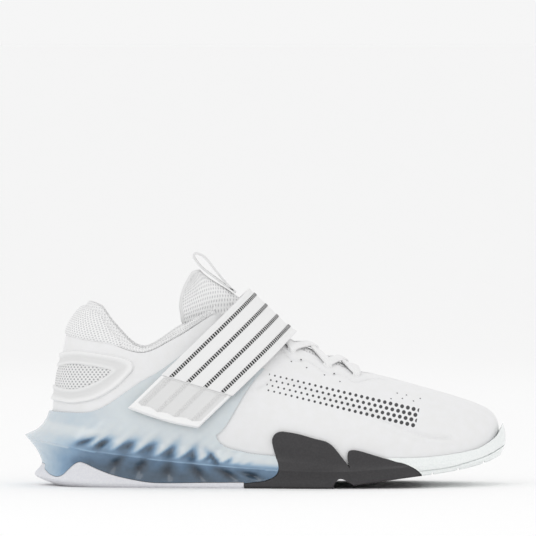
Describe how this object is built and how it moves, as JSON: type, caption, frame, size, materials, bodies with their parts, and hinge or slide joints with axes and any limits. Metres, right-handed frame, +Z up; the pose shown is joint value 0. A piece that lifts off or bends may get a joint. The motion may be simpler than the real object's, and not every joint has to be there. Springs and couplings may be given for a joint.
{
  "type": "weightlifting shoe",
  "caption": "Right weightlifting shoe with a raised translucent heel clip, a wide instep strap, flat laces, a mesh tongue and a padded heel.",
  "frame": {"origin": "on the ground under the middle of the shoe's box", "axes": "+X towards the toe, -Y towards the outer side of the foot, +Z up from the ground"},
  "size_m": [0.3008, 0.1108, 0.1454],
  "materials": {
    "upper": "satin",
    "collar": "matte",
    "tongue": "matte",
    "pull_loop": "matte",
    "heel_frame": "satin",
    "heel_mesh": "matte",
    "heel_wedge": "translucent",
    "outsole_heel": "matte",
    "outsole_forefoot": "matte",
    "outsole_toe": "matte",
    "insole": "matte",
    "laces": "matte",
    "strap": "matte",
    "strap_backing": "matte",
    "strap_tab": "satin"
  },
  "bodies": {
    "root": {"upper": "upper", "collar": "collar", "tongue": "tongue", "pull_loop": "pull_loop", "heel_frame": "heel_frame", "heel_mesh": "heel_mesh", "heel_wedge": "heel_wedge", "outsole_heel": "outsole_heel", "outsole_forefoot": "outsole_forefoot", "outsole_toe": "outsole_toe", "insole": "insole", "laces": "laces", "strap": "strap", "strap_backing": "strap_backing", "strap_tab": "strap_tab"}
  },
  "joints": []
}
